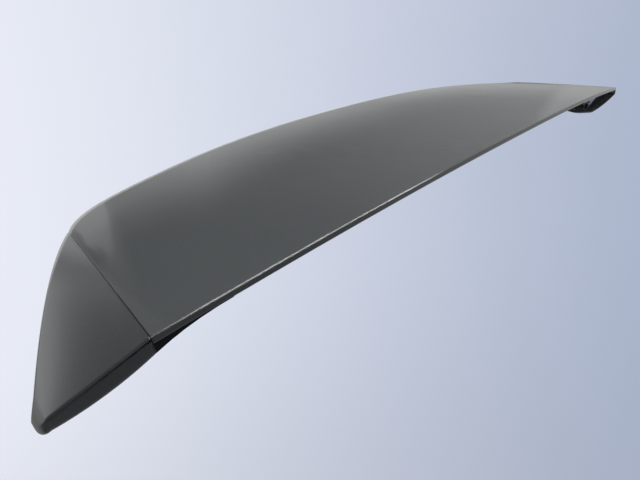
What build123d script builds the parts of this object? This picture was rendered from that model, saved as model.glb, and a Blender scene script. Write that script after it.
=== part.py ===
"""Roof spoiler: a painted skin with two side blades over a black lower panel, bolted to a tailgate's top."""

import os
from math import atan2, cos, degrees, hypot, sin

from build123d import *

os.makedirs("parts", exist_ok=True)

# Driving dimensions in millimetres. +X is the car's right, +Y its front, +Z up.
# The origin is the middle of the four mounting studs, on the seat plane of their towers.
span = 1060.0               # from crease to crease along the trailing edge
end_chord = 236.0           # trailing edge to leading edge at the ends, before the corners are rounded
end_rise = 43.0             # leading edge above trailing edge at a crease
crease_toe_in = 20.0        # the crease leans in by this much towards the front
trailing_sweep = 20.0       # the trailing edge's middle lies this far behind its corners
trailing_crown = 20.0       # and this far above them
trailing_power = 2.4
leading_bow = 67.5          # the leading edge's middle lies this far ahead of its corners
leading_crown = 36.0        # and this far above them
leading_power = 2.4
corner_round = 38.0         # the rounded front corners bend back by this much at the creases
corner_dip = 3.0            # and dip by this much
corner_start = 0.9          # from this share of the half span
top_camber = 1.0            # rise of the top's arc over its chord
nose_radius = 36.0          # rolled leading edge
lip_height = 6.0            # straight stretch under the roll
hem_height = 5.0            # upright face of the trailing edge
hem_edge_radius = 1.1       # rounded upper edge of that face
skin_wall = 3.0
corner_setback = 170.0      # trailing corners behind the studs' middle
corner_drop = 10.0          # trailing corners below the seat plane

# Side blades
blade_gap = 0.7             # panel gap at the crease
blade_reach = 68.6          # tip beyond the crease, outwards
blade_drop = 47.4           # tip's rear corner below the trailing corner
tip_setback = 61.0          # tip's rear corner ahead of the trailing corner
tip_length = 15.5
tip_dip = 4.4               # the tip's front lies this much lower than its rear
tip_flare = 3.5             # and this much further out
tip_nose_radius = 11.6
tip_camber = 0.4
front_bow_out = -3.8        # bow of the blade's front edge, outwards
front_bow_ahead = 14.0      # forwards
front_bow_up = 13.5         # and upwards
return_at_crease = 13.0     # height of the blade's rear return face
return_at_middle = 14.8
return_at_tip = 10.3
return_rake = 1.5
return_lip = 1.1            # painted edge above the shadow groove
groove_depth = 1.6
groove_height = 1.8
groove_fade = 0.8           # share of its depth that the groove loses towards the tip
blade_wall = 3.0
blade_edge_radius = 0.8
tip_wall = 5.0
tip_round = 3.0             # reach of the rounded end cap
tip_cap = ((0.5, 0.99), (0.85, 0.95), (1.0, 0.86))  # shares of that reach, and of the blade's own size there

# Lower panel
plate_wall = 3.0
plate_recess = 0.4          # the panel lies this far above the skin's lower rim
tongue_wall = 1.5           # thinned rear edge that tucks in behind the hem
tongue_length = 24.0
rim_clearance = 0.5
fairing_length = 62.0       # corner fairings under the trailing edge
fairing_height = 7.5
fairing_power = 2.5         # how the height falls off along it
fairing_depth = 22.0
fairing_inset = 0.8
fairing_runout = 0.5        # height at the inner end
fairing_rake = 0.25         # forward lean of its rear face, as a share of the height

# Leading-edge seal
seal_side = 1.6
seal_base = 2.0
seal_grip = 4.5
seal_lip = 7.0
fit_clearance = 0.15

# Studs, gaskets and pegs
stud_inset = 170.0          # from a crease to the nearest studs
stud_spacing_x = span - 2 * stud_inset
stud_spacing_y = 95.0
stud_radius = 3.0
stud_length = 22.0
stud_chamfer = 0.8
stud_neck_radius = 4.5      # thicker neck in the tower's floor
stud_head_radius = 9.0
stud_head_height = 2.5
tower_radius = 15.0
tower_wall = 3.5
tower_floor = 5.0
gasket_thickness = 3.0
gasket_width = 5.0
gasket_clearance = 3.5
peg_spacing = 300.0
peg_radius = 4.0
peg_length = 14.0
peg_taper = 3.0
peg_collar = 4.0

# Screws between the two panels
screw_radius = 2.1
screw_head_radius = 4.5
screw_head_height = 2.4
screw_length = 11.0
screw_room = 1.0            # a boss's hole runs past the screw by this much
cup_radius = 8.0
cup_height = 6.0
cup_floor = 2.5
boss_radius = 4.5
screw_inset = 65.0          # from a crease to the outer screws
screw_columns = (75.0, 235.0, span / 2 - screw_inset)
screw_row_rear = 105.0      # ahead of the trailing edge
screw_row_front = 18.0      # behind the leading edge

# Screws and nuts at the creases
m5_radius = 2.5
m5_head_radius = 4.75
m5_head_height = 3.2
m5_nut_flats = 8.0
m5_nut_height = 4.0
m5_overhang = 1.5
pad_radius = 6.5
crease_screws = (116.0, 188.0)  # along the crease from the trailing corner
crease_pin = 58.0          # moulded pin, along the crease likewise
pin_radius = 2.2
pin_length = 8.0

# Liners, brackets and clips in the blades
liner_wall = 2.5
liner_end = 0.8             # share of the blade's slope that the liner covers
liner_rear = 46.0           # liner's rear edge ahead of the blade's rear edge
liner_clearance = 1.2
liner_lift = 0.6
flange_margin = 9.0
bracket_wall = 2.0
bracket_width = 12.0
bracket_length = 58.0
bracket_ahead = 24.0        # middle of the bracket ahead of the blade's rear edge
bracket_standoff = 3.0
bracket_middle = 0.52       # share of the slope at the bracket's middle
m4_radius = 1.8
m4_head_radius = 3.6
m4_head_height = 1.8
m4_length = 5.5
m4_spacing = 26.0
clip_offset = 22.5          # clip's hole towards the tip
clip_radius = 2.8
clip_flange_radius = 5.0
clip_flange = 1.5
clip_length = 13.0
clip_barb = 1.1
clip_barbs = 3
post_wall = 1.8

void_overrun = 12.0         # how far a hollow's cutting shape runs past the open side
reach_up = 90.0             # longer than any boss

# Stations across the span and down the blade that the lofts pass through
half_stations = (0.2, 0.4, 0.6, 0.75, 0.88, 1.0)
blade_stations = (0.3, 0.6, 0.85)
fairing_stations = (0.0, 0.13, 0.32, 0.61, 1.0)
span_stations = (*[-share for share in half_stations[::-1]], 0.0, *half_stations)


def crest(share, power):
    """One at the middle of the span and nothing at its ends."""
    return 1 - abs(share) ** power


def trailing_point(share):
    """Top of the trailing edge at a share of the half span."""
    rise = crest(share, trailing_power)
    across = share * span / 2
    return Vector(across, -corner_setback - trailing_sweep * rise, trailing_crown * rise - corner_drop)


def leading_point(share):
    """Where the top runs into the rolled leading edge."""
    rise = crest(share, leading_power)
    bend = max(0.0, abs(share) - corner_start) / (1 - corner_start)
    across = share * (span / 2 - crease_toe_in)
    ahead = end_chord + leading_bow * rise - corner_round * bend ** 2 - corner_setback
    height = end_rise + leading_crown * rise - corner_dip * bend ** 2 - corner_drop
    return Vector(across, ahead, height)


def upright_plane(rear, front):
    """Upright plane through two points: x from rear to front, y up, z towards the car's right."""
    ahead = front - rear
    return Plane(origin=(rear.X, rear.Y, 0), x_dir=(ahead.X, ahead.Y, 0), z_dir=(ahead.Y, -ahead.X, 0))


def lead_angle(rear, front, camber):
    """Slope of the top's arc where the roll begins, in a section's own x and y."""
    run = front.X - rear.X
    rise = front.Y - rear.Y
    return atan2(rise, run) - 2 * atan2(2 * camber, hypot(run, rise))


def roll_end(rear, front, camber, radius):
    """Foremost point of the roll, where it points straight down."""
    lead = lead_angle(rear, front, camber)
    return Vector(front.X + radius * (1 + sin(lead)), front.Y - radius * cos(lead))


def open_line(foot, toe, ahead):
    """Height of the straight line from foot to toe, the open side of a section."""
    return foot.Y + (toe.Y - foot.Y) * (ahead - foot.X) / (toe.X - foot.X)


def skin_ends(share):
    """A section's plane, and its rear and front points in that plane."""
    rear, front = trailing_point(share), leading_point(share)
    plane = upright_plane(rear, front)
    return plane, Vector(0, rear.Z), Vector(plane.to_local_coords(front).X, front.Z)


def skin_feet(share):
    """Lower ends of the hem and of the lip in a section's plane."""
    _, rear, front = skin_ends(share)
    toe = roll_end(rear, front, top_camber, nose_radius)
    return Vector(0, rear.Y - hem_height), Vector(toe.X, toe.Y - lip_height)


def top_and_roll(rear, front, camber, radius, inset):
    """The top's arc and the roll after it, moved inwards by inset. Call inside BuildLine."""
    lead = lead_angle(rear, front, camber)
    chord = (front - rear).normalized()
    across = Vector(-chord.Y, chord.X)
    inner_front = front - Vector(-sin(lead), cos(lead)) * inset
    middle = (rear + front) / 2 + across * (camber - inset)
    start = rear + Vector(inset, inset * chord.Y / chord.X - inset)
    top = ThreePointArc(start, middle, inner_front)
    roll = JernArc(top @ 1, (cos(lead), sin(lead)), radius - inset, -90 - degrees(lead))
    return top, roll


def skin_section(share, inset=0.0, overrun=0.0):
    """Closed outline across the skin, moved inwards by inset and run past its open side by overrun."""
    plane, rear, front = skin_ends(share)
    foot, toe = skin_feet(share)
    with BuildSketch(plane) as section:
        with BuildLine():
            top, roll = top_and_roll(rear, front, top_camber, nose_radius, inset)
            Polyline(roll @ 1, (toe.X - inset, toe.Y - overrun), (inset, foot.Y - overrun), top @ 0)
        make_face()
        if not inset:
            fillet(section.vertices().sort_by_distance(rear)[0], hem_edge_radius)
    return section.sketch


def plate_section(share):
    """Outline across the lower panel's plate, with its thinned rear edge."""
    foot, toe = skin_feet(share)
    start = skin_wall + rim_clearance
    end = toe.X - skin_wall - seal_side - rim_clearance
    full = start + tongue_length
    with BuildSketch(skin_ends(share)[0]) as section:
        with BuildLine():
            Polyline(
                (start, open_line(foot, toe, start) + plate_recess),
                (end, open_line(foot, toe, end) + plate_recess),
                (end, open_line(foot, toe, end) + plate_recess + plate_wall),
                (full, open_line(foot, toe, full) + plate_recess + plate_wall),
                (start, open_line(foot, toe, start) + plate_recess + tongue_wall),
                close=True,
            )
        make_face()
    return section.sketch


def fairing_section(side, along):
    """Outline across a corner fairing, a wedge under the hem, at a share of its length from the crease."""
    share = side * inner_share(rim_clearance + along * (fairing_length - rim_clearance))
    height = fairing_runout + fairing_height * (1 - along) ** fairing_power
    foot, toe = skin_feet(share)
    behind = skin_wall + rim_clearance
    merge = plate_recess + tongue_wall / 2
    with BuildSketch(skin_ends(share)[0]) as section:
        with BuildLine():
            Polyline(
                (fairing_inset, foot.Y - plate_recess),
                (fairing_inset + height * fairing_rake, foot.Y - plate_recess - height),
                (fairing_depth, open_line(foot, toe, fairing_depth) + merge),
                (behind, open_line(foot, toe, behind) + merge),
                (behind, foot.Y - plate_recess),
                close=True,
            )
        make_face()
    return section.sketch


def seal_section(share):
    """Outline across the seal round the skin's lip, with a soft tail that points forwards and down."""
    foot, toe = skin_feet(share)
    front = toe.X + seal_side
    back = toe.X - skin_wall - seal_side
    base = open_line(foot, toe, back) - seal_base
    with BuildSketch(skin_ends(share)[0]) as section:
        with BuildLine():
            Polyline(
                (back, base),
                (back, toe.Y + seal_grip),
                (front, toe.Y + seal_grip),
                (front, base + seal_base / 2),
                (toe.X + seal_lip, base - seal_lip),
                (toe.X + seal_lip - seal_side, base - seal_lip),
                (toe.X, base),
                close=True,
            )
        make_face()
    return section.sketch


def share_at(x, y):
    """Share of the half span whose section passes over a place in plan."""
    share = x / (span / 2)
    for _ in range(4):
        rear, front = trailing_point(share), leading_point(share)
        share = x / (span / 2 - crease_toe_in * (y - rear.Y) / (front.Y - rear.Y))
    return share


def panel_height(x, y):
    """Underside of the lower panel's plate at a place in plan."""
    share = share_at(x, y)
    plane, *_ = skin_ends(share)
    foot, toe = skin_feet(share)
    return open_line(foot, toe, plane.to_local_coords(Vector(x, y, 0)).X) + plate_recess


def inner_share(distance):
    """Share of the half span that lies a distance inside the crease."""
    return 1 - distance / (span / 2)


crease = upright_plane(trailing_point(1), leading_point(1))
left_crease = upright_plane(trailing_point(-1), leading_point(-1))


def trim_ends(margin):
    """Cut both ends off at a margin inside the creases. Call inside BuildPart."""
    split(bisect_by=crease.offset(-margin), keep=Keep.BOTTOM)
    split(bisect_by=left_crease.offset(margin), keep=Keep.TOP)


def blade_rear(slope):
    """Rear edge of the right blade, from the crease at 0 to the tip at 1."""
    return trailing_point(1) + Vector(blade_reach, tip_setback, -blade_drop) * slope


def blade_front(slope):
    """Where the right blade's face runs into its rolled front edge."""
    tip = blade_rear(1) + Vector(tip_flare, tip_length, -tip_dip)
    bow = Vector(front_bow_out, front_bow_ahead, front_bow_up) * 4 * slope * (1 - slope)
    return leading_point(1) * (1 - slope) + tip * slope + bow


def blade_plane(slope):
    """Upright plane across the right blade; at the crease it stands off by the gap."""
    if not slope:
        return crease.offset(blade_gap)
    return upright_plane(blade_rear(slope), blade_front(slope))


def blade_face(slope, ahead):
    """Point on the right blade's face, ahead of its rear edge."""
    rear = blade_rear(slope)
    return rear + (blade_front(slope) - rear).normalized() * ahead


def return_height(slope):
    """Height of the rear return face, a parabola through its three named values."""
    crease_part = return_at_crease * (1 - slope) * (1 - 2 * slope)
    tip_part = return_at_tip * slope * (2 * slope - 1)
    return crease_part + 4 * return_at_middle * slope * (1 - slope) + tip_part


def blade_ends(slope, plane):
    """Rear and front points of the blade's face and the two ends of its open side, in a plane across it."""
    rear = plane.to_local_coords(blade_rear(slope))
    front = plane.to_local_coords(blade_front(slope))
    rear, front = Vector(rear.X, rear.Y), Vector(front.X, front.Y)
    radius = nose_radius + (tip_nose_radius - nose_radius) * slope
    camber = top_camber + (tip_camber - top_camber) * slope
    foot = Vector(rear.X + return_rake, rear.Y - return_height(slope))
    return rear, front, foot, roll_end(rear, front, camber, radius), camber, radius


def blade_section(slope):
    """Closed outline across the blade, with the shadow groove under its rear edge."""
    plane = blade_plane(slope)
    rear, front, foot, _, camber, radius = blade_ends(slope, plane)
    groove = groove_depth * (1 - groove_fade * slope)
    lip = rear.Y - return_lip
    with BuildSketch(plane) as section:
        with BuildLine():
            top, roll = top_and_roll(rear, front, camber, radius, 0.0)
            Polyline(
                roll @ 1,
                foot,
                (rear.X, lip - groove_height),
                (rear.X + groove, lip - groove_height),
                (rear.X + groove, lip),
                (rear.X, lip),
                top @ 0,
            )
        make_face()
        fillet(section.vertices().sort_by_distance(rear)[0], blade_edge_radius)
    return section.sketch


def cap_section(reach_share, size_share):
    """Outline across the rounded end cap: the blade's own, drawn in towards its middle."""
    section = blade_section(1 - (1 - reach_share) * tip_round / blade_reach)
    drawn_in = section.scale(size_share)
    return drawn_in.moved(Location(section.center() - drawn_in.center()))


def on_slope(wall):
    """Upright measure of a wall that lies along the blade's slope."""
    return wall * hypot(blade_reach, blade_drop) / blade_reach


def blade_void(slope, plane):
    """Outline of the blade's hollow, run past its open side."""
    rear, front, foot, toe, camber, radius = blade_ends(slope, plane)
    inset = on_slope(blade_wall)
    with BuildSketch(plane) as section:
        with BuildLine():
            top, roll = top_and_roll(rear, front, camber, radius, inset)
            below_toe = (toe.X - inset, toe.Y - void_overrun)
            below_foot = (rear.X + inset, foot.Y - void_overrun)
            Polyline(roll @ 1, below_toe, below_foot, top @ 0)
        make_face()
    return section.sketch


def liner_section(slope, plane):
    """Outline across a liner, just inside the blade's open side."""
    rear, _, foot, toe, _, _ = blade_ends(slope, plane)
    wall = on_slope(liner_wall)
    start = rear.X + liner_rear
    end = toe.X - on_slope(blade_wall) - liner_clearance
    with BuildSketch(plane) as section:
        with BuildLine():
            Polyline(
                (start, open_line(foot, toe, start) + liner_lift),
                (end, open_line(foot, toe, end) + liner_lift),
                (end, open_line(foot, toe, end) + liner_lift + wall),
                (start, open_line(foot, toe, start) + liner_lift + wall),
                close=True,
            )
        make_face()
    return section.sketch


# Places of the screws between the two panels
screw_spots = []
for column in screw_columns:
    for x in (-column, column):
        share = x / (span / 2)
        screw_spots.append((x, trailing_point(share).Y + screw_row_rear))
        screw_spots.append((x, leading_point(share).Y - screw_row_front))

# Places of the screws at the right crease, in its plane: halfway between the plate's top and the blade's
# face over their heads
wall_plane = crease.offset(blade_gap + blade_wall)
wall_slope = (blade_gap + blade_wall) / blade_reach
head_slope = wall_slope + (liner_wall + m5_head_height) / blade_reach
head_rear, head_front, *_ = blade_ends(head_slope, crease)
crease_foot, crease_toe = skin_feet(1)
crease_spots = []
for along in crease_screws:
    low_height = open_line(crease_foot, crease_toe, along) + plate_recess + plate_wall
    high_height = open_line(head_rear, head_front, along) - on_slope(blade_wall)
    crease_spots.append((along, (low_height + high_height) / 2))
_, skin_rear, skin_front = skin_ends(1)
pin_low = open_line(crease_foot, crease_toe, crease_pin) + plate_recess + plate_wall
pin_high = open_line(skin_rear, skin_front, crease_pin) - skin_wall
pin_spot = (crease_pin, (pin_low + pin_high) / 2)

# Where the right blade's end cap begins
tip_slope = 1 - tip_round / blade_reach

# Face of the right blade over its bracket, with x down the slope and z out of the blade
bracket_x = blade_face(1, bracket_ahead) - blade_face(0, bracket_ahead)
bracket_y = blade_face(bracket_middle, 2 * bracket_ahead) - blade_face(bracket_middle, 0)
bracket_spot = blade_face(bracket_middle, bracket_ahead)
bracket_face = Plane(origin=bracket_spot, x_dir=bracket_x, z_dir=bracket_x.cross(bracket_y))
bracket_seat = bracket_face.offset(-blade_wall - bracket_standoff)
bracket_back = bracket_seat.offset(-bracket_wall)

upwards = (Align.CENTER, Align.CENTER, Align.MIN)
downwards = (Align.CENTER, Align.CENTER, Align.MAX)

# Skin: a lofted shell that is open below, with bosses for the screws
with BuildPart() as skin_bosses:
    for x, y in screw_spots:
        with Locations((x, y, panel_height(x, y) + cup_height)):
            Cylinder(boss_radius, reach_up, align=upwards)
    loft([skin_section(share, skin_wall / 2, void_overrun) for share in span_stations], mode=Mode.INTERSECT)

with BuildPart() as crease_holes:
    with BuildSketch(wall_plane):
        with Locations(*crease_spots):
            Circle(m5_radius + fit_clearance)
    extrude(amount=-blade_wall - blade_gap - 2 * skin_wall)
    mirror(about=Plane.YZ)

with BuildPart() as pin_holes:
    with BuildSketch(crease):
        with Locations(pin_spot):
            Circle(pin_radius + fit_clearance)
    extrude(amount=-2 * skin_wall)
    mirror(about=Plane.YZ)

with BuildPart() as skin_hollow:
    loft([skin_section(share, skin_wall, void_overrun) for share in span_stations])
    trim_ends(skin_wall)

with BuildPart() as upper_panel:
    loft([skin_section(share) for share in span_stations])
    add(skin_hollow.part, mode=Mode.SUBTRACT)
    add(skin_bosses.part)
    for x, y in screw_spots:
        with Locations((x, y, panel_height(x, y) + cup_height)):
            depth = screw_length - cup_floor + screw_room
            Cylinder(screw_radius + fit_clearance, depth, align=upwards, mode=Mode.SUBTRACT)
    add(crease_holes.part, mode=Mode.SUBTRACT)
    add(pin_holes.part, mode=Mode.SUBTRACT)
upper_panel.part.label = "upper_panel"
export_step(upper_panel.part, "parts/upper_panel.step")

# Room for the skin's end walls over the corner fairings
with BuildPart() as wall_room:
    with BuildSketch(crease):
        with BuildLine():
            rim_end = 2 * fairing_depth
            rim_low = open_line(crease_foot, crease_toe, 0) - plate_recess
            rim_high = open_line(crease_foot, crease_toe, rim_end) - plate_recess
            Polyline(
                (0, rim_low),
                (rim_end, rim_high),
                (rim_end, rim_high + hem_height),
                (0, rim_low + hem_height),
                close=True,
            )
        make_face()
    extrude(amount=-skin_wall - rim_clearance / 2)
    mirror(about=Plane.YZ)

# Lower panel: a thin plate inside the skin's rim, with corner fairings, screw cups, stud towers and
# locating pegs
with BuildPart() as lower_panel:
    loft([plate_section(share) for share in span_stations])
    trim_ends(skin_wall + rim_clearance)
    for side in (-1, 1):
        loft([fairing_section(side, along) for along in fairing_stations])
    add(wall_room.part, mode=Mode.SUBTRACT)
    for x, y in screw_spots:
        with Locations((x, y, panel_height(x, y) + plate_wall / 2)):
            Cylinder(cup_radius, cup_height - plate_wall / 2, align=upwards)
        with Locations((x, y, panel_height(x, y) + cup_height - cup_floor)):
            Cylinder(screw_head_radius + rim_clearance, reach_up, align=downwards, mode=Mode.SUBTRACT)
            Cylinder(screw_radius + fit_clearance, 2 * cup_floor, align=upwards, mode=Mode.SUBTRACT)
    with GridLocations(stud_spacing_x, stud_spacing_y, 2, 2) as studs:
        stud_spots = [(spot.position.X, spot.position.Y) for spot in studs.locations]
    for x, y in stud_spots:
        with Locations((x, y, 0)):
            Cylinder(tower_radius, panel_height(x, y) + plate_wall, align=upwards)
            Cylinder(stud_neck_radius + fit_clearance, 2 * tower_floor, mode=Mode.SUBTRACT)
        with Locations((x, y, tower_floor)):
            Cylinder(tower_radius - tower_wall, reach_up, align=upwards, mode=Mode.SUBTRACT)
    for x in (-peg_spacing / 2, peg_spacing / 2):
        with Locations((x, 0, 0)):
            Cylinder(peg_radius + peg_collar, panel_height(x, 0) + plate_wall / 2, align=upwards)
            Cylinder(peg_radius, peg_length - peg_taper, align=downwards)
        with Locations((x, 0, peg_taper - peg_length)):
            Cone(peg_radius - peg_taper / 2, peg_radius, peg_taper, align=downwards)
lower_panel.part.label = "lower_panel"
export_step(lower_panel.part, "parts/lower_panel.step")

# Seal along the leading edge, slotted by the lip that it grips
with BuildPart() as leading_edge_seal:
    loft([seal_section(share) for share in span_stations])
    trim_ends(skin_wall + rim_clearance)
    add(upper_panel.part, mode=Mode.SUBTRACT)
leading_edge_seal.part.label = "leading_edge_seal"
export_step(leading_edge_seal.part, "parts/leading_edge_seal.step")

# Studs in their towers, and the foam rings round them
with BuildPart() as mounting_studs:
    with Locations(*[(x, y, tower_floor) for x, y in stud_spots]):
        Cylinder(stud_head_radius, stud_head_height, align=upwards)
        Cylinder(stud_neck_radius, tower_floor, align=downwards)
        Cylinder(stud_radius, stud_length + tower_floor, align=downwards)
    chamfer(mounting_studs.edges().group_by(Axis.Z)[0], stud_chamfer)
mounting_studs.part.label = "mounting_studs"
export_step(mounting_studs.part, "parts/mounting_studs.step")

with BuildPart() as stud_gaskets:
    with BuildSketch():
        with Locations(*stud_spots):
            Circle(stud_radius + gasket_clearance + gasket_width)
            Circle(stud_radius + gasket_clearance, mode=Mode.SUBTRACT)
    extrude(amount=-gasket_thickness)
stud_gaskets.part.label = "stud_gaskets"
export_step(stud_gaskets.part, "parts/stud_gaskets.step")

# Screws that draw the lower panel up to the skin's bosses
with BuildPart() as panel_screws:
    for x, y in screw_spots:
        with Locations((x, y, panel_height(x, y) + cup_height - cup_floor)):
            Cylinder(screw_head_radius, screw_head_height, align=downwards)
            Cylinder(screw_radius, screw_length, align=upwards)
panel_screws.part.label = "panel_screws"
export_step(panel_screws.part, "parts/panel_screws.step")

# Right blade: a lofted shell with a crease wall, pads in the gap and posts for the bracket
with BuildPart() as side_blade_right:
    loft([blade_section(slope) for slope in (0.0, *blade_stations, tip_slope)])
    loft([blade_section(tip_slope), *[cap_section(*shares) for shares in tip_cap]], ruled=True)
    hollow = [blade_void(wall_slope, wall_plane)]
    for slope in (*blade_stations, 1 - tip_wall / blade_reach):
        hollow.append(blade_void(slope, blade_plane(slope)))
    loft(hollow, mode=Mode.SUBTRACT)
    with BuildSketch(crease):
        with Locations(*crease_spots):
            Circle(pad_radius)
    extrude(amount=blade_gap)
    with BuildSketch(wall_plane):
        with Locations(pin_spot):
            Circle(pin_radius)
    extrude(amount=-blade_wall - blade_gap - pin_length)
    add(crease_holes.part, mode=Mode.SUBTRACT)
    with BuildSketch(bracket_seat):
        with GridLocations(m4_spacing, 0, 2, 1):
            Circle(m4_radius + post_wall)
    extrude(amount=bracket_standoff + blade_wall / 2)
    with BuildSketch(bracket_seat):
        with GridLocations(m4_spacing, 0, 2, 1):
            Circle(m4_radius + fit_clearance)
    extrude(amount=m4_length - bracket_wall + fit_clearance, mode=Mode.SUBTRACT)
side_blade_right.part.label = "side_blade_right"
export_step(side_blade_right.part, "parts/side_blade_right.step")

with BuildPart() as side_blade_left:
    mirror(side_blade_right.part, about=Plane.YZ)
side_blade_left.part.label = "side_blade_left"
export_step(side_blade_left.part, "parts/side_blade_left.step")

# Right liner: a plate in the blade's open side with a flange under the crease screws
with BuildPart() as side_liner_right:
    sections = [liner_section(wall_slope, wall_plane)]
    for slope in (*blade_stations[:2], liner_end):
        sections.append(liner_section(slope, blade_plane(slope)))
    loft(sections)
    _, _, wall_foot, wall_toe, _, _ = blade_ends(wall_slope, wall_plane)
    flange_start = (crease_spots[0][0] - flange_margin, crease_spots[0][1])
    flange_end = (crease_spots[-1][0] + flange_margin, crease_spots[-1][1])
    flange_ends = (flange_start, flange_end)
    with BuildSketch(wall_plane):
        with BuildLine():
            lower = [(along, open_line(wall_foot, wall_toe, along) + liner_lift) for along, _ in flange_ends]
            upper = [(along, height + m5_head_radius) for along, height in flange_ends]
            Polyline(*lower, *upper[::-1], close=True)
        make_face()
    extrude(amount=liner_wall)
    with BuildSketch(wall_plane):
        with Locations(*crease_spots):
            Circle(m5_radius + fit_clearance)
    extrude(amount=2 * liner_wall, mode=Mode.SUBTRACT)
side_liner_right.part.label = "side_liner_right"
export_step(side_liner_right.part, "parts/side_liner_right.step")

with BuildPart() as side_liner_left:
    mirror(side_liner_right.part, about=Plane.YZ)
side_liner_left.part.label = "side_liner_left"
export_step(side_liner_left.part, "parts/side_liner_left.step")

# Right bracket: a flat strip with two screw holes and a clip hole
with BuildPart() as blade_bracket_right:
    with BuildSketch(bracket_seat):
        SlotOverall(bracket_length, bracket_width)
        with GridLocations(m4_spacing, 0, 2, 1):
            Circle(m4_radius + fit_clearance, mode=Mode.SUBTRACT)
        with Locations((clip_offset, 0)):
            Circle(clip_radius + fit_clearance, mode=Mode.SUBTRACT)
    extrude(amount=-bracket_wall)
blade_bracket_right.part.label = "blade_bracket_right"
export_step(blade_bracket_right.part, "parts/blade_bracket_right.step")

with BuildPart() as blade_bracket_left:
    mirror(blade_bracket_right.part, about=Plane.YZ)
blade_bracket_left.part.label = "blade_bracket_left"
export_step(blade_bracket_left.part, "parts/blade_bracket_left.step")

# Screws and nuts at both creases
flange_plane = wall_plane.offset(liner_wall)
with BuildPart() as blade_screws:
    with BuildSketch(flange_plane):
        with Locations(*crease_spots):
            Circle(m5_head_radius)
    extrude(amount=m5_head_height)
    with BuildSketch(flange_plane):
        with Locations(*crease_spots):
            Circle(m5_radius)
    extrude(amount=-liner_wall - blade_wall - blade_gap - skin_wall - m5_nut_height - m5_overhang)
    mirror(about=Plane.YZ)
blade_screws.part.label = "blade_screws"
export_step(blade_screws.part, "parts/blade_screws.step")

with BuildPart() as blade_nuts:
    with BuildSketch(crease.offset(-skin_wall)):
        with Locations(*crease_spots):
            RegularPolygon(m5_nut_flats / 2, 6, major_radius=False)
            Circle(m5_radius + fit_clearance, mode=Mode.SUBTRACT)
    extrude(amount=-m5_nut_height)
    mirror(about=Plane.YZ)
blade_nuts.part.label = "blade_nuts"
export_step(blade_nuts.part, "parts/blade_nuts.step")

# Screws that hold the brackets on their posts
with BuildPart() as bracket_screws:
    with BuildSketch(bracket_back):
        with GridLocations(m4_spacing, 0, 2, 1):
            Circle(m4_head_radius)
    extrude(amount=-m4_head_height)
    with BuildSketch(bracket_back):
        with GridLocations(m4_spacing, 0, 2, 1):
            Circle(m4_radius)
    extrude(amount=m4_length)
    mirror(about=Plane.YZ)
bracket_screws.part.label = "bracket_screws"
export_step(bracket_screws.part, "parts/bracket_screws.step")

# Push-in clips in the brackets: a flange, a stub through the strip and a barbed leg
with BuildPart() as tip_clips:
    with BuildSketch(bracket_back):
        with Locations((clip_offset, 0)):
            Circle(clip_radius)
    extrude(amount=bracket_wall + bracket_standoff / 2)
    with BuildSketch(bracket_back):
        with Locations((clip_offset, 0)):
            Circle(clip_flange_radius)
    extrude(amount=-clip_flange)
    pitch = (clip_length - clip_flange) / clip_barbs
    for barb in range(clip_barbs):
        leg = bracket_back.offset(-clip_flange - barb * pitch)
        with BuildSketch(leg):
            with Locations((clip_offset, 0)):
                Circle(clip_radius + clip_barb)
        with BuildSketch(leg.offset(-pitch)):
            with Locations((clip_offset, 0)):
                Circle(clip_radius - clip_barb)
        loft(ruled=True)
    mirror(about=Plane.YZ)
tip_clips.part.label = "tip_clips"
export_step(tip_clips.part, "parts/tip_clips.step")
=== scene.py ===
"""Roof spoiler: finishes, rounded blade ends, gap fillers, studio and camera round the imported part.

Lengths are in metres and angles in degrees.
"""

import math

import bmesh
import bpy
from mathutils import Matrix, Vector


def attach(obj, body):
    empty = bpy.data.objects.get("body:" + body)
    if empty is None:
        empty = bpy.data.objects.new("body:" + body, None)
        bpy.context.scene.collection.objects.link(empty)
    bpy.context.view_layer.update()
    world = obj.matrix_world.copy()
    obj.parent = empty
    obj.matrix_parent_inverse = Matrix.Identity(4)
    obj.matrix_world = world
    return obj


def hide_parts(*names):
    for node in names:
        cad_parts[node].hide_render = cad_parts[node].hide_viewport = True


# Camera, behind the spoiler's left end
CAMERA_PLACE = (-0.6060, -0.4381, 0.1212)
CAMERA_AZIMUTH = -40.96             # turned from the car's front (+Y) towards its left (-X)
CAMERA_ELEVATION = 19.50            # and looking down
CAMERA_ROLL = -11.49
CAMERA_LENS = 24.75                 # millimetres, as is the sensor
CAMERA_SENSOR = 36.0
CAMERA_NEAR = 0.02                  # nothing closer is shown

# Studio: azimuths run from the car's front (+Y) towards its right (+X)
FLOOR_HEIGHT = -1.6
FLOOR_RADIUS = 6.0
FLOOR_FADE = (0.10, 0.50)           # shares of the radius between which the floor melts into the backdrop
FLOOR_GLOW = 0.8                    # share of the floor's colour that doesn't depend on the lamps
FLOOR_RINGS = 24
FLOOR_SPOKES = 96
SWEEP_AXIS = (0.697, -0.693, -0.188)  # the backdrop darkens along this direction
SWEEP_REACH = 0.59
BACKDROP = (                        # share of that sweep, and the backdrop's colour there
    (0.0, (0.812, 0.838, 0.923)),
    (0.5, (0.617, 0.658, 0.775)),
    (1.0, (0.413, 0.468, 0.604)),
)
BACKDROP_FALL = (-55.0, -20.0, 0.86)  # it darkens below the second elevation, to this share at the first
KEY_PLACE = (2.2, -0.5, 3.0)
KEY_SIZE = (1.8, 1.9)
KEY_POWER = 86.0                    # watts
FILL_PLACE = (-2.6, 1.6, 2.2)
FILL_SIZE = (1.6, 1.6)
FILL_POWER = 8.0
SKY_FADE = (-15.0, 60.0)            # soft light on matt surfaces, from the ground's level up to the sky's
GROUND_LEVEL = 0.20
SKY_LEVEL = 0.95

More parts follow.
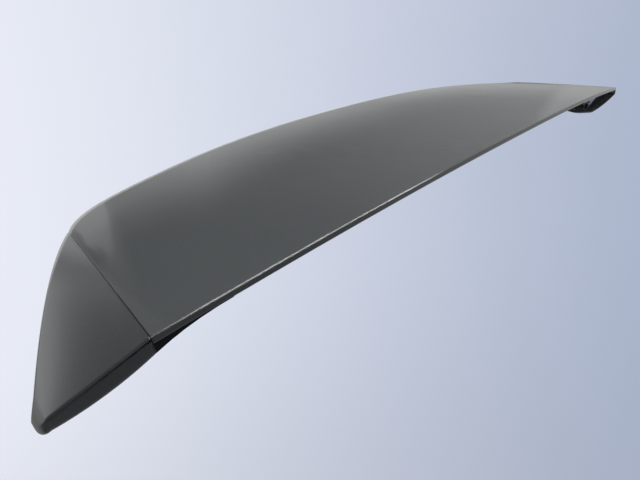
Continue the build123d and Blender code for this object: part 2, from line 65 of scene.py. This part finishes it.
# The room that the gloss mirrors: azimuth and grey level, below and above the top edge of the light on a screen
# that stands in front. A window shines at the left of the screen, and the room behind is dim.
ROOM_LOW = (
    (-180, 0.08), (-60, 0.05), (-30, 0.05), (-22, 0.15), (-16, 0.70), (-10, 1.25), (0, 1.15), (14.3, 1.02),
    (14.7, 1.00), (29, 1.04), (44, 1.08), (57, 0.84), (63, 0.62), (68, 0.62), (74, 0.70), (74.3, 0.72),
    (100, 0.62), (125, 0.60), (145, 0.30), (165, 0.10), (180, 0.08),
)
ROOM_HIGH = (
    (-180, 0.08), (-60, 0.03), (-30, 0.03), (-24, 0.06), (-20, 0.15), (-16, 0.45), (-12, 0.60), (0, 0.40),
    (14.3, 0.37), (14.7, 0.10), (29, 0.15), (44, 0.19), (57, 0.27), (68, 0.33), (74, 0.37), (74.3, 0.54),
    (100, 0.50), (125, 0.40), (145, 0.20), (165, 0.08), (180, 0.08),
)
SCREEN_EDGE = (29.0, 28.5, 74.0, 3.0)  # that edge falls from one azimuth and elevation to another
SCREEN_SOFT = (-7.0, 8.0)           # elevations about it between which the levels pass into each other
WINDOW_EDGE = (14.3, 14.7, 4.0)     # up to these azimuths the edge lies this much higher, in the window
ZENITH = (34.0, 58.0, 0.34)         # elevations between which the room passes into this level overhead
TABLE_AZIMUTHS = (-70.0, -55.0, -24.0, -15.0)  # bright table at the left: where it fades in and out
TABLE_EDGE = (-31.5, 22.5, 0.58)    # its far edge: an azimuth, the elevation there, and its slope
TABLE_SOFT = 7.5
TABLE_LEVEL = 1.20
# Two lights over the rear: azimuths and elevations where each fades in and out, and its level
STRIPS = (
    ((58.0, 72.0, 150.0, 179.0), (47.0, 58.0, 80.0, 89.0), 20.0),
    ((62.0, 76.0, 106.0, 114.0), (35.0, 43.0, 56.0, 62.0), 17.0),
)
HORIZON = (-8.0, 9.0, 0.34)         # elevations between which the front of the room fades to this share
HORIZON_END = (78.0, 95.0)          # azimuths between which that fading ends

# Finishes: scales are in waves per metre, and edge is the radius by which edges look rounded
NOISE_RANGE = (0.3, 0.7)            # noise between these takes a finish from its one value to its other
EDGE_SAMPLES = 4
FLAKE_SCALE = 1400.0
FLAKE_DETAIL = 1.0
FLAKES = ((0.35, (0.050, 0.055, 0.057)), (0.7, (0.066, 0.072, 0.075)))  # noise, and the paint's colour there
CLOUD_SCALE = 7.0
CLOUDS = ((0.95, 0.95, 0.95), (1.0, 1.0, 1.0))  # shares of that colour
PAINT_ROUGH = (0.40, 0.46)
PAINT_ROUGH_SCALE = 30.0
PAINT_SPECULAR = 0.01               # low, because the clear coat gives the gloss
PEEL_SCALE = 260.0
PEEL_DEPTH = 0.00001
PEEL_STRENGTH = 0.5
PAINT_EDGE = 0.0022
COAT_WEIGHT = 0.9
COAT_ROUGH = 0.03
PORE_SCALE = 1500.0
PORES = ((0.0, (0.020, 0.020, 0.021)), (0.6, (0.050, 0.050, 0.052)))  # distance from a pore, and the foam's colour
PORE_DEPTH = 0.0003
PORE_STRENGTH = 0.7
FOAM_ROUGH = 0.9
THREAD_SCALE = 314.0                # one ring per millimetre of a stud
STEEL = dict(
    tone_scale=260.0, tone_detail=3.0, rough_scale=420.0,
    grain_scale=900.0, grain_depth=0.00003, grain_strength=0.6, edge=0.0003, Metallic=1.0)
PLAIN_FINISHES = {
    "black_moulding": dict(
        tones=((0.007, 0.007, 0.008), (0.012, 0.012, 0.013)), tone_scale=40.0, tone_detail=4.0,
        rough=(0.50, 0.62), rough_scale=120.0, Specular_IOR_Level=0.08,
        grain_scale=1500.0, grain_detail=3.0, grain_depth=0.00012, grain_strength=0.6, edge=0.0004),
    "seal_rubber": dict(
        tones=((0.011, 0.011, 0.011), (0.018, 0.018, 0.018)), tone_scale=60.0, tone_detail=3.0,
        rough=(0.66, 0.80), rough_scale=200.0,
        grain_scale=700.0, grain_depth=0.0001, grain_strength=0.4),
    "clip_nylon": dict(
        tones=((0.012, 0.012, 0.012), (0.020, 0.020, 0.020)), tone_scale=150.0,
        rough=(0.38, 0.48), rough_scale=300.0,
        grain_scale=800.0, grain_depth=0.00005, grain_strength=0.4),
    "zinc_steel": dict(STEEL, tones=((0.30, 0.30, 0.31), (0.44, 0.44, 0.45)), rough=(0.36, 0.5)),
    "screw_steel": dict(STEEL, tones=((0.055, 0.055, 0.058), (0.09, 0.09, 0.095)), rough=(0.34, 0.5)),
    "stud_steel": dict(
        STEEL, tones=((0.48, 0.44, 0.34), (0.62, 0.58, 0.46)), rough=(0.26, 0.38),
        grain_scale=None, grain_depth=0.0004),
}
PAINTED = "dark_grey_paint"
BARE = "black_moulding"
NODE_FINISH = {
    "upper_panel": PAINTED,
    "side_blade_right": PAINTED,
    "side_blade_left": PAINTED,
    "lower_panel": "black_moulding",
    "side_liner_right": "black_moulding",
    "side_liner_left": "black_moulding",
    "leading_edge_seal": "seal_rubber",
    "stud_gaskets": "foam_rubber",
    "blade_bracket_right": "zinc_steel",
    "blade_bracket_left": "zinc_steel",
    "blade_nuts": "zinc_steel",
    "bracket_screws": "zinc_steel",
    "mounting_studs": "stud_steel",
    "panel_screws": "screw_steel",
    "blade_screws": "screw_steel",
    "tip_clips": "clip_nylon",
}
BARE_SLOPE = -0.30                  # painted shells are bare where they look down more than this
SMOOTH_ANGLE = 32.0                 # faces that meet at less than this shade as one surface
PAINT_ANGLE = 62.0                  # and on painted shells, whose edges are rounded

SIDES = ((-1, "left"), (1, "right"))  # sign of x, and the word in the names of pieces

# Rounded blade ends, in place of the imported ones
TIP_CUT = 0.5952                    # the blade is kept up to this far out
TIP_REACH = 0.0080                  # and its end is this long
TIP_STEPS = 12
TIP_MIDDLE = (-0.0775, -0.0570)     # y and z that the end is drawn in towards, at the cut
TIP_DRIFT = (-1.287, -1.129)        # and how far those move per unit outwards
TIP_TAPER = (64.1, 45.7)            # shares of y and z that the blade's own taper takes per metre
TIP_ROUND = 3.2                     # the higher, the squarer the end
WELD = 0.000001                     # points closer than this are one
FACE_ORDER = (1.0, 3.7, 9.1)        # faces are put in order of this weighting of x, y and z, the same each run

# Fillers in the gaps beside the blades
CREASE = ((0.530, -0.170), (0.5062, 0.066))  # the crease in plan, at the trailing and leading edges
GAP = 0.0007
GAP_CLEAR = 0.02                    # share of the gap that stays open at each side
SKIN_PROBE = 0.0007                 # how far from the crease the skin's height is taken
BLADE_PROBE = 0.0014                # and the blade's
FILLER_STEPS = 60
FILLER_START = 0.0015               # it starts this far ahead of the trailing corner
FILLER_OVERRUN = 0.010              # and ends with the paint, at most this far past the leading one
FILLER_SUNK = 0.0008                # under the paint, at the rear
FILLER_FLUSH = 0.24                 # share of its length from which it is flush
FILLER_DEPTH = 0.002
# The black pad under each rear corner is painted shade: it stands in for the dark of the gap there.
PAD_INNER = 0.0005                  # the pad reaches this far under the skin
PAD_Y = (-0.1685, -0.1560)
PAD_Z = (-0.0227, -0.0125)
RAY_HEIGHT = 0.3                    # rays that find the paint's height start here
RAY_START = 0.00005                 # and those that look for a facing wall start this far off a face


def node(tree, kind, inputs=None, **settings):
    """A new node with its settings; inputs are plain values or the sockets to link."""
    made = tree.nodes.new(kind)
    for name, value in settings.items():
        setattr(made, name, value)
    for name, value in (inputs or {}).items():
        if isinstance(value, bpy.types.NodeSocket):
            tree.links.new(value, made.inputs[name])
        else:
            made.inputs[name].default_value = value
    return made


def maths(tree, operation, first, second=0.0):
    """The result of a Math node on two values or sockets."""
    return node(tree, "ShaderNodeMath", {0: first, 1: second}, operation=operation).outputs[0]


def vector_maths(tree, operation, inputs, result="Vector"):
    """A result of a Vector Math node on up to two vectors or sockets."""
    return node(tree, "ShaderNodeVectorMath", dict(enumerate(inputs)), operation=operation).outputs[result]


def straight(tree, value, start, end, low=0.0, high=1.0, **settings):
    """A ramp of value from low at start to high at end, held outside them."""
    inputs = {"Value": value, "From Min": start, "From Max": end, "To Min": low, "To Max": high}
    return node(tree, "ShaderNodeMapRange", inputs, **settings).outputs["Result"]


def fade(tree, value, start, end, low=0.0, high=1.0):
    """A smooth step of value from low at start to high at end."""
    return straight(tree, value, start, end, low, high, interpolation_type="SMOOTHSTEP")


def patch(tree, value, start, full, end, gone):
    """One between full and end, fading to nothing at start and gone."""
    return maths(tree, "MULTIPLY", fade(tree, value, start, full), fade(tree, value, end, gone, 1.0, 0.0))


def ramp(tree, fac, stops):
    """A colour ramp through (position, colour) stops."""
    made = node(tree, "ShaderNodeValToRGB", {"Fac": fac})
    elements = made.color_ramp.elements
    while len(elements) < len(stops):
        elements.new(0.5)
    for element, (position, colour) in zip(elements, stops):
        element.position = position
        element.color = (*colour, 1.0)
    return made.outputs["Color"]


def mix(tree, fac, first, second, blend="MIX"):
    """The result of a colour Mix node, which takes colours at sockets 6 and 7."""
    made = node(tree, "ShaderNodeMix", data_type="RGBA", blend_type=blend)
    for index, value in ((0, fac), (6, first), (7, second)):
        if isinstance(value, bpy.types.NodeSocket):
            tree.links.new(value, made.inputs[index])
        else:
            made.inputs[index].default_value = value if index == 0 else (*value, 1.0)
    return made.outputs[2]


def grey(level):
    """The grey of a level, as a colour."""
    return (level,) * 3


def own_place(tree):
    """Coordinates on the object itself."""
    return node(tree, "ShaderNodeTexCoord").outputs["Object"]


def noise(tree, scale, detail=2.0):
    """Noise on the object itself."""
    inputs = {"Vector": own_place(tree), "Scale": scale, "Detail": detail}
    return node(tree, "ShaderNodeTexNoise", inputs).outputs["Fac"]


def rings(tree):
    """Rings along the object's height, as a thread has."""
    inputs = {"Vector": own_place(tree), "Scale": THREAD_SCALE}
    return node(tree, "ShaderNodeTexWave", inputs, bands_direction="Z").outputs["Fac"]


def grain(tree, height, depth, strength, edge=0.0):
    """Bump of a height pattern, over edges softened by the radius edge."""
    inputs = {"Height": height, "Distance": depth, "Strength": strength}
    if edge:
        inputs["Normal"] = node(tree, "ShaderNodeBevel", {"Radius": edge}, samples=EDGE_SAMPLES).outputs[0]
    return node(tree, "ShaderNodeBump", inputs).outputs[0]


def new_material(name):
    """A material with an empty node tree."""
    material = bpy.data.materials.new(name)
    material.use_nodes = True
    material.node_tree.nodes.clear()
    return material, material.node_tree


def surface(tree, **inputs):
    """A Principled surface on the material's output; names have _ for spaces."""
    shader = node(tree, "ShaderNodeBsdfPrincipled", {name.replace("_", " "): value for name, value in inputs.items()})
    node(tree, "ShaderNodeOutputMaterial", {"Surface": shader.outputs[0]})


def paint():
    """Dark grey satin paint under a clear coat with a trace of orange peel."""
    material, tree = new_material(PAINTED)
    flakes = ramp(tree, noise(tree, FLAKE_SCALE, FLAKE_DETAIL), FLAKES)
    clouds = ramp(tree, noise(tree, CLOUD_SCALE), tuple(zip(NOISE_RANGE, CLOUDS)))
    colour = mix(tree, 1.0, flakes, clouds, "MULTIPLY")
    roughness = fade(tree, noise(tree, PAINT_ROUGH_SCALE), *NOISE_RANGE, *PAINT_ROUGH)
    normal = grain(tree, noise(tree, PEEL_SCALE), PEEL_DEPTH, PEEL_STRENGTH, PAINT_EDGE)
    surface(tree, Base_Color=colour, Roughness=roughness, Normal=normal, Coat_Normal=normal,
            Specular_IOR_Level=PAINT_SPECULAR, Coat_Weight=COAT_WEIGHT, Coat_Roughness=COAT_ROUGH)
    return material


def foam():
    """Grey closed-cell foam with pores."""
    material, tree = new_material("foam_rubber")
    inputs = {"Vector": own_place(tree), "Scale": PORE_SCALE}
    cells = node(tree, "ShaderNodeTexVoronoi", inputs).outputs["Distance"]
    normal = grain(tree, cells, PORE_DEPTH, PORE_STRENGTH)
    surface(tree, Base_Color=ramp(tree, cells, PORES), Roughness=FOAM_ROUGH, Normal=normal)
    return material


def plain_finish(name, tones, tone_scale, rough, rough_scale, grain_scale, grain_depth, grain_strength,
                 tone_detail=2.0, grain_detail=2.0, edge=0.0, **shader):
    """A finish with uneven tone and roughness and a fine grain, or with a thread's rings if grain_scale is None."""
    material, tree = new_material(name)
    colour = ramp(tree, noise(tree, tone_scale, tone_detail), tuple(zip(NOISE_RANGE, tones)))
    roughness = fade(tree, noise(tree, rough_scale), *NOISE_RANGE, *rough)
    height = rings(tree) if grain_scale is None else noise(tree, grain_scale, grain_detail)
    normal = grain(tree, height, grain_depth, grain_strength, edge)
    surface(tree, Base_Color=colour, Roughness=roughness, Normal=normal, **shader)
    return material


def angles(tree, seen):
    """Azimuth and elevation of a direction."""
    axes = node(tree, "ShaderNodeSeparateXYZ", {0: seen}).outputs
    azimuth = maths(tree, "DEGREES", maths(tree, "ARCTAN2", axes["X"], axes["Y"]))
    elevation = maths(tree, "DEGREES", maths(tree, "ARCSINE", axes["Z"]))
    return azimuth, elevation


def backdrop_colour(tree, seen):
    """The pale backdrop's colour in a direction."""
    along = vector_maths(tree, "DOT_PRODUCT", (seen, SWEEP_AXIS), "Value")
    colour = ramp(tree, straight(tree, along, -SWEEP_REACH, SWEEP_REACH), BACKDROP)
    _, elevation = angles(tree, seen)
    lowest, level, share = BACKDROP_FALL
    return mix(tree, 1.0, colour, fade(tree, elevation, lowest, level, share, 1.0), "MULTIPLY")


def room_level(tree, azimuth, levels):
    """Grey level of the mirrored room at an azimuth."""
    share = straight(tree, azimuth, -180.0, 180.0)
    return ramp(tree, share, [((angle + 180) / 360, grey(level)) for angle, level in levels])


def table_mask(tree, azimuth, elevation):
    """One where the mirrored room shows the bright table, and nothing elsewhere."""
    turn, height, slope = TABLE_EDGE
    rise = maths(tree, "MULTIPLY", maths(tree, "SUBTRACT", azimuth, turn), slope)
    over = maths(tree, "SUBTRACT", maths(tree, "SUBTRACT", elevation, rise), height)
    across = patch(tree, azimuth, *TABLE_AZIMUTHS)
    return maths(tree, "MULTIPLY", across, fade(tree, over, -TABLE_SOFT, TABLE_SOFT, 1.0, 0.0))


def room_colour(tree, azimuth, elevation):
    """The mirrored room's grey in a direction."""
    left, top, right, foot = SCREEN_EDGE
    start, end, step = WINDOW_EDGE
    edge = straight(tree, azimuth, left, right, top, foot)
    edge = maths(tree, "ADD", edge, fade(tree, azimuth, start, end, step, 0.0))
    above = fade(tree, maths(tree, "SUBTRACT", elevation, edge), *SCREEN_SOFT)
    room = mix(tree, above, room_level(tree, azimuth, ROOM_LOW), room_level(tree, azimuth, ROOM_HIGH))
    start, end, level = ZENITH
    room = mix(tree, fade(tree, elevation, start, end), room, grey(level))
    room = mix(tree, table_mask(tree, azimuth, elevation), room, grey(TABLE_LEVEL))
    for turns, heights, level in STRIPS:
        mask = maths(tree, "MULTIPLY", patch(tree, azimuth, *turns), patch(tree, elevation, *heights))
        room = mix(tree, mask, room, grey(level))
    start, end, share = HORIZON
    dimmed = mix(tree, 1.0, room, fade(tree, azimuth, *HORIZON_END, share, 1.0), "MULTIPLY")
    return mix(tree, fade(tree, elevation, start, end), dimmed, room)


def make_world():
    """Soft light from above; the camera and glass see the pale backdrop, and gloss mirrors the room."""
    world = bpy.data.worlds.new("studio")
    bpy.context.scene.world = world
    world.use_nodes = True
    tree = world.node_tree
    tree.nodes.clear()
    seen = node(tree, "ShaderNodeTexCoord").outputs["Generated"]
    azimuth, elevation = angles(tree, seen)
    sky = fade(tree, elevation, *SKY_FADE, GROUND_LEVEL, SKY_LEVEL)
    rays = node(tree, "ShaderNodeLightPath").outputs
    lit = mix(tree, rays["Is Glossy Ray"], sky, room_colour(tree, azimuth, elevation))
    shown = maths(tree, "MAXIMUM", rays["Is Camera Ray"], rays["Is Transmission Ray"])
    colour = mix(tree, shown, lit, backdrop_colour(tree, seen))
    background = node(tree, "ShaderNodeBackground", {"Color": colour, "Strength": 1.0})
    node(tree, "ShaderNodeOutputWorld", {"Surface": background.outputs[0]})


def floor_material():
    """The backdrop's colour with the spoiler's shadow, clear towards the rim."""
    material, tree = new_material("studio_floor")
    place = node(tree, "ShaderNodeNewGeometry").outputs["Position"]
    ahead = vector_maths(tree, "SUBTRACT", (place, CAMERA_PLACE))
    pale = backdrop_colour(tree, vector_maths(tree, "NORMALIZE", (ahead,)))
    flat = vector_maths(tree, "MULTIPLY", (place, (1.0, 1.0, 0.0)))
    start, end = FLOOR_FADE
    edge = fade(tree, vector_maths(tree, "LENGTH", (flat,), "Value"), start * FLOOR_RADIUS, end * FLOOR_RADIUS)
    matt = node(tree, "ShaderNodeBsdfDiffuse", {"Color": pale}).outputs[0]
    glow = node(tree, "ShaderNodeEmission", {"Color": pale}).outputs[0]
    rays = node(tree, "ShaderNodeLightPath").outputs
    shown = maths(tree, "MULTIPLY", FLOOR_GLOW, maths(tree, "MAXIMUM", rays["Is Camera Ray"], rays["Is Glossy Ray"]))
    pale_floor = node(tree, "ShaderNodeMixShader", {0: shown, 1: matt, 2: glow}).outputs[0]
    clear = node(tree, "ShaderNodeBsdfTransparent").outputs[0]
    shader = node(tree, "ShaderNodeMixShader", {0: edge, 1: pale_floor, 2: clear})
    node(tree, "ShaderNodeOutputMaterial", {"Surface": shader.outputs[0]})
    return material


def new_object(name, points, faces, material):
    """An object with a mesh of points and faces."""
    mesh = bpy.data.meshes.new(name)
    mesh.from_pydata(points, [], faces)
    mesh.materials.append(material)
    made = bpy.data.objects.new(name, mesh)
    bpy.context.collection.objects.link(made)
    return made


def make_floor():
    """A pale round floor far below, which melts into the backdrop at its rim."""
    points = [(0.0, 0.0, FLOOR_HEIGHT)]
    for ring in range(1, FLOOR_RINGS + 1):
        reach = FLOOR_RADIUS * ring / FLOOR_RINGS
        for spoke in range(FLOOR_SPOKES):
            turn = math.tau * spoke / FLOOR_SPOKES
            points.append((reach * math.cos(turn), reach * math.sin(turn), FLOOR_HEIGHT))
    faces = [(0, 1 + spoke, 1 + (spoke + 1) % FLOOR_SPOKES) for spoke in range(FLOOR_SPOKES)]
    for ring in range(FLOOR_RINGS - 1):
        inner = 1 + ring * FLOOR_SPOKES
        outer = inner + FLOOR_SPOKES
        for spoke in range(FLOOR_SPOKES):
            after = (spoke + 1) % FLOOR_SPOKES
            faces.append((inner + spoke, outer + spoke, outer + after, inner + after))
    floor = new_object("studio_floor", points, faces, floor_material())


def make_lamp(name, place, size, power):
    """A soft area lamp that points at the spoiler's middle."""
    data = bpy.data.lights.new(name, "AREA")
    data.shape = "RECTANGLE"
    data.size, data.size_y = size
    data.energy = power
    lamp = bpy.data.objects.new(name, data)
    turn = Vector(place).to_track_quat("Z", "Y")
    lamp.matrix_world = Matrix.Translation(place) @ turn.to_matrix().to_4x4()
    lamp.visible_glossy = False
    bpy.context.collection.objects.link(lamp)


def make_camera():
    """The photograph's viewpoint."""
    data = bpy.data.cameras.new("camera")
    data.sensor_width = CAMERA_SENSOR
    data.lens = CAMERA_LENS
    data.clip_start = CAMERA_NEAR
    camera = bpy.data.objects.new("camera", data)
    turn = (Matrix.Rotation(math.radians(CAMERA_AZIMUTH), 4, "Z")
            @ Matrix.Rotation(math.radians(90 - CAMERA_ELEVATION), 4, "X")
            @ Matrix.Rotation(math.radians(CAMERA_ROLL), 4, "Z"))
    camera.matrix_world = Matrix.Translation(CAMERA_PLACE) @ turn
    bpy.context.collection.objects.link(camera)
    bpy.context.scene.camera = camera


def past_cut(part, side):
    """Whether the whole of an edge or a face lies at a blade's cut or past it."""
    return all(side * vert.co.x > TIP_CUT - WELD for vert in part.verts)


def round_tip(side, word):
    """A blade with a rounded end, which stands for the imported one."""
    name = "side_blade_" + word
    shape = bmesh.new()
    shape.from_mesh(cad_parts[name].data)
    bmesh.ops.bisect_plane(shape, geom=shape.verts[:] + shape.edges[:] + shape.faces[:],
                           plane_co=(side * TIP_CUT, 0.0, 0.0), plane_no=(side, 0.0, 0.0), clear_outer=True)
    end = [vert for vert in shape.verts if side * vert.co.x > TIP_CUT - WELD]
    bmesh.ops.remove_doubles(shape, verts=end, dist=WELD)
    ring = [edge for edge in shape.edges if edge.is_boundary and past_cut(edge, side)]
    outline = {vert: vert.co.copy() for edge in ring for vert in edge.verts}
    for step in range(1, TIP_STEPS + 1):
        share = math.sin(math.pi / 2 * step / (TIP_STEPS + 1))
        out = TIP_REACH * share
        drawn = (1 - share ** TIP_ROUND) ** (1 / TIP_ROUND)
        made = bmesh.ops.extrude_edge_only(shape, edges=ring)["geom"]
        ring = [part for part in made if isinstance(part, bmesh.types.BMEdge)]
        fresh = {}
        for vert in (part for part in made if isinstance(part, bmesh.types.BMVert)):
            base = min(outline, key=lambda old: (old.co - vert.co).length_squared)
            fresh[vert] = outline[base]
        for vert, start in fresh.items():
            y, z = (middle + (place - middle) * (1 - taper * out) * drawn + drift * out
                    for place, middle, taper, drift in zip(start.yz, TIP_MIDDLE, TIP_TAPER, TIP_DRIFT))
            vert.co = (side * (TIP_CUT + out), y, z)
        outline = fresh
    bmesh.ops.triangle_fill(shape, edges=ring, use_beauty=True)
    bmesh.ops.recalc_face_normals(shape, faces=[face for face in shape.faces if past_cut(face, side)])
    shape.faces.sort(key=lambda face: face.calc_center_median().dot(FACE_ORDER))
    mesh = bpy.data.meshes.new(name + "_rounded")
    shape.to_mesh(mesh)
    shape.free()
    made = bpy.data.objects.new(name + "_rounded", mesh)
    bpy.context.collection.objects.link(made)
    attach(made, "root")
    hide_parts(name)
    return made


def leave_bare(piece):
    """Give a painted shell's inner faces its second material, the bare moulding."""
    for face in piece.data.polygons:
        start = face.center + face.normal * RAY_START
        under = face.normal.z < BARE_SLOPE and abs(face.center.x) < TIP_CUT
        inside = under or piece.ray_cast(start, face.normal)[0]
        face.material_index = 1 if inside else 0


def dress(piece, finish):
    """Give a piece its finish and its smooth shading."""
    painted = finish == PAINTED
    piece.data.materials.clear()
    piece.data.materials.append(finishes[finish])
    if painted:
        piece.data.materials.append(finishes[BARE])
        leave_bare(piece)
    piece.data.shade_smooth()
    piece.data.set_sharp_from_angle(angle=math.radians(PAINT_ANGLE if painted else SMOOTH_ANGLE))
    if painted:
        normals = piece.modifiers.new("flat_faces_first", "WEIGHTED_NORMAL")
        normals.keep_sharp = True


def ground(piece, x, y):
    """Height of a piece's top over a place in plan, or None beside it."""
    hit, place, _, _ = piece.ray_cast(Vector((x, y, RAY_HEIGHT)), Vector((0.0, 0.0, -1.0)))
    return place.z if hit else None


def bar(name, rows, finish):
    """A closed bar through rows of four corners each, carried by the part."""
    points = [corner for row in rows for corner in row]
    faces = [(0, 1, 2, 3), tuple(len(points) - 4 + corner for corner in (3, 2, 1, 0))]
    for row in range(len(rows) - 1):
        for corner in range(4):
            near, after = 4 * row + corner, 4 * row + (corner + 1) % 4
            faces.append((near, near + 4, after + 4, after))
    made = new_object(name, points, faces, finishes[finish])
    made.data.validate()
    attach(made, "root")


def bar_row(near, far, y, top, foot):
    """The four corners of an upright cut through a bar at y."""
    return (near, y, top), (far, y, top), (far, y, foot), (near, y, foot)


def crease_x(side, y):
    """The crease plane's place at y, on the left (-1) or right (1)."""
    (rear_x, rear_y), (front_x, front_y) = CREASE
    return side * (rear_x + (front_x - rear_x) * (y - rear_y) / (front_y - rear_y))


def fill_crease(side, word):
    """A body-coloured filler sunk in the gap beside a blade, as far as both stand over it."""
    skin, blade = pieces["upper_panel"], pieces["side_blade_" + word]
    (_, rear_y), (_, front_y) = CREASE
    start = rear_y + FILLER_START
    rows = []
    for step in range(FILLER_STEPS + 1):
        share = step / FILLER_STEPS
        y = start + (front_y + FILLER_OVERRUN - start) * share
        x = crease_x(side, y)
        heights = ground(skin, x - side * SKIN_PROBE, y), ground(blade, x + side * BLADE_PROBE, y)
        if None in heights:
            break
        top = min(heights) - FILLER_SUNK * max(0.0, 1 - share / FILLER_FLUSH)
        near, far = x + side * GAP_CLEAR * GAP, x + side * (1 - GAP_CLEAR) * GAP
        rows.append(bar_row(near, far, y, top, top - FILLER_DEPTH))
    bar("crease_filler_" + word, rows, PAINTED)


def pad_shaded_gap(side, word):
    """A black rubber pad that closes the gap under a blade's rear corner; its black is painted shade, standing in for
    the dark of that gap.
    """
    foot, top = PAD_Z
    rows = []
    for y in PAD_Y:
        x = crease_x(side, y)
        rows.append(bar_row(x - side * PAD_INNER, x + side * (1 - GAP_CLEAR) * GAP, y, top, foot))
    bar("shaded_gap_pad_" + word, rows, "seal_rubber")


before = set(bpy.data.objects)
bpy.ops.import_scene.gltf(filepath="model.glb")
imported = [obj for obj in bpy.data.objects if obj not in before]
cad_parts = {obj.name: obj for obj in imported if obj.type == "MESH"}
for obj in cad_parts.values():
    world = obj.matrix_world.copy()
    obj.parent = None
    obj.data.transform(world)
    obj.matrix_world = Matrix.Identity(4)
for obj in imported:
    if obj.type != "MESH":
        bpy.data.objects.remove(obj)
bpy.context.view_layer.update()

finishes = {name: plain_finish(name, **values) for name, values in PLAIN_FINISHES.items()}
finishes[PAINTED] = paint()
finishes["foam_rubber"] = foam()

pieces = dict(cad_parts)
for side, word in SIDES:
    pieces["side_blade_" + word] = round_tip(side, word)
bpy.context.view_layer.update()
for name, piece in pieces.items():
    dress(piece, NODE_FINISH[name])
for side, word in SIDES:
    fill_crease(side, word)
    # the pad's black is painted shade in the gap under the corner
    pad_shaded_gap(side, word)

make_world()
make_floor()
make_lamp("key", KEY_PLACE, KEY_SIZE, KEY_POWER)
make_lamp("fill", FILL_PLACE, FILL_SIZE, FILL_POWER)
make_camera()
bpy.context.scene.view_settings.view_transform = "Standard"
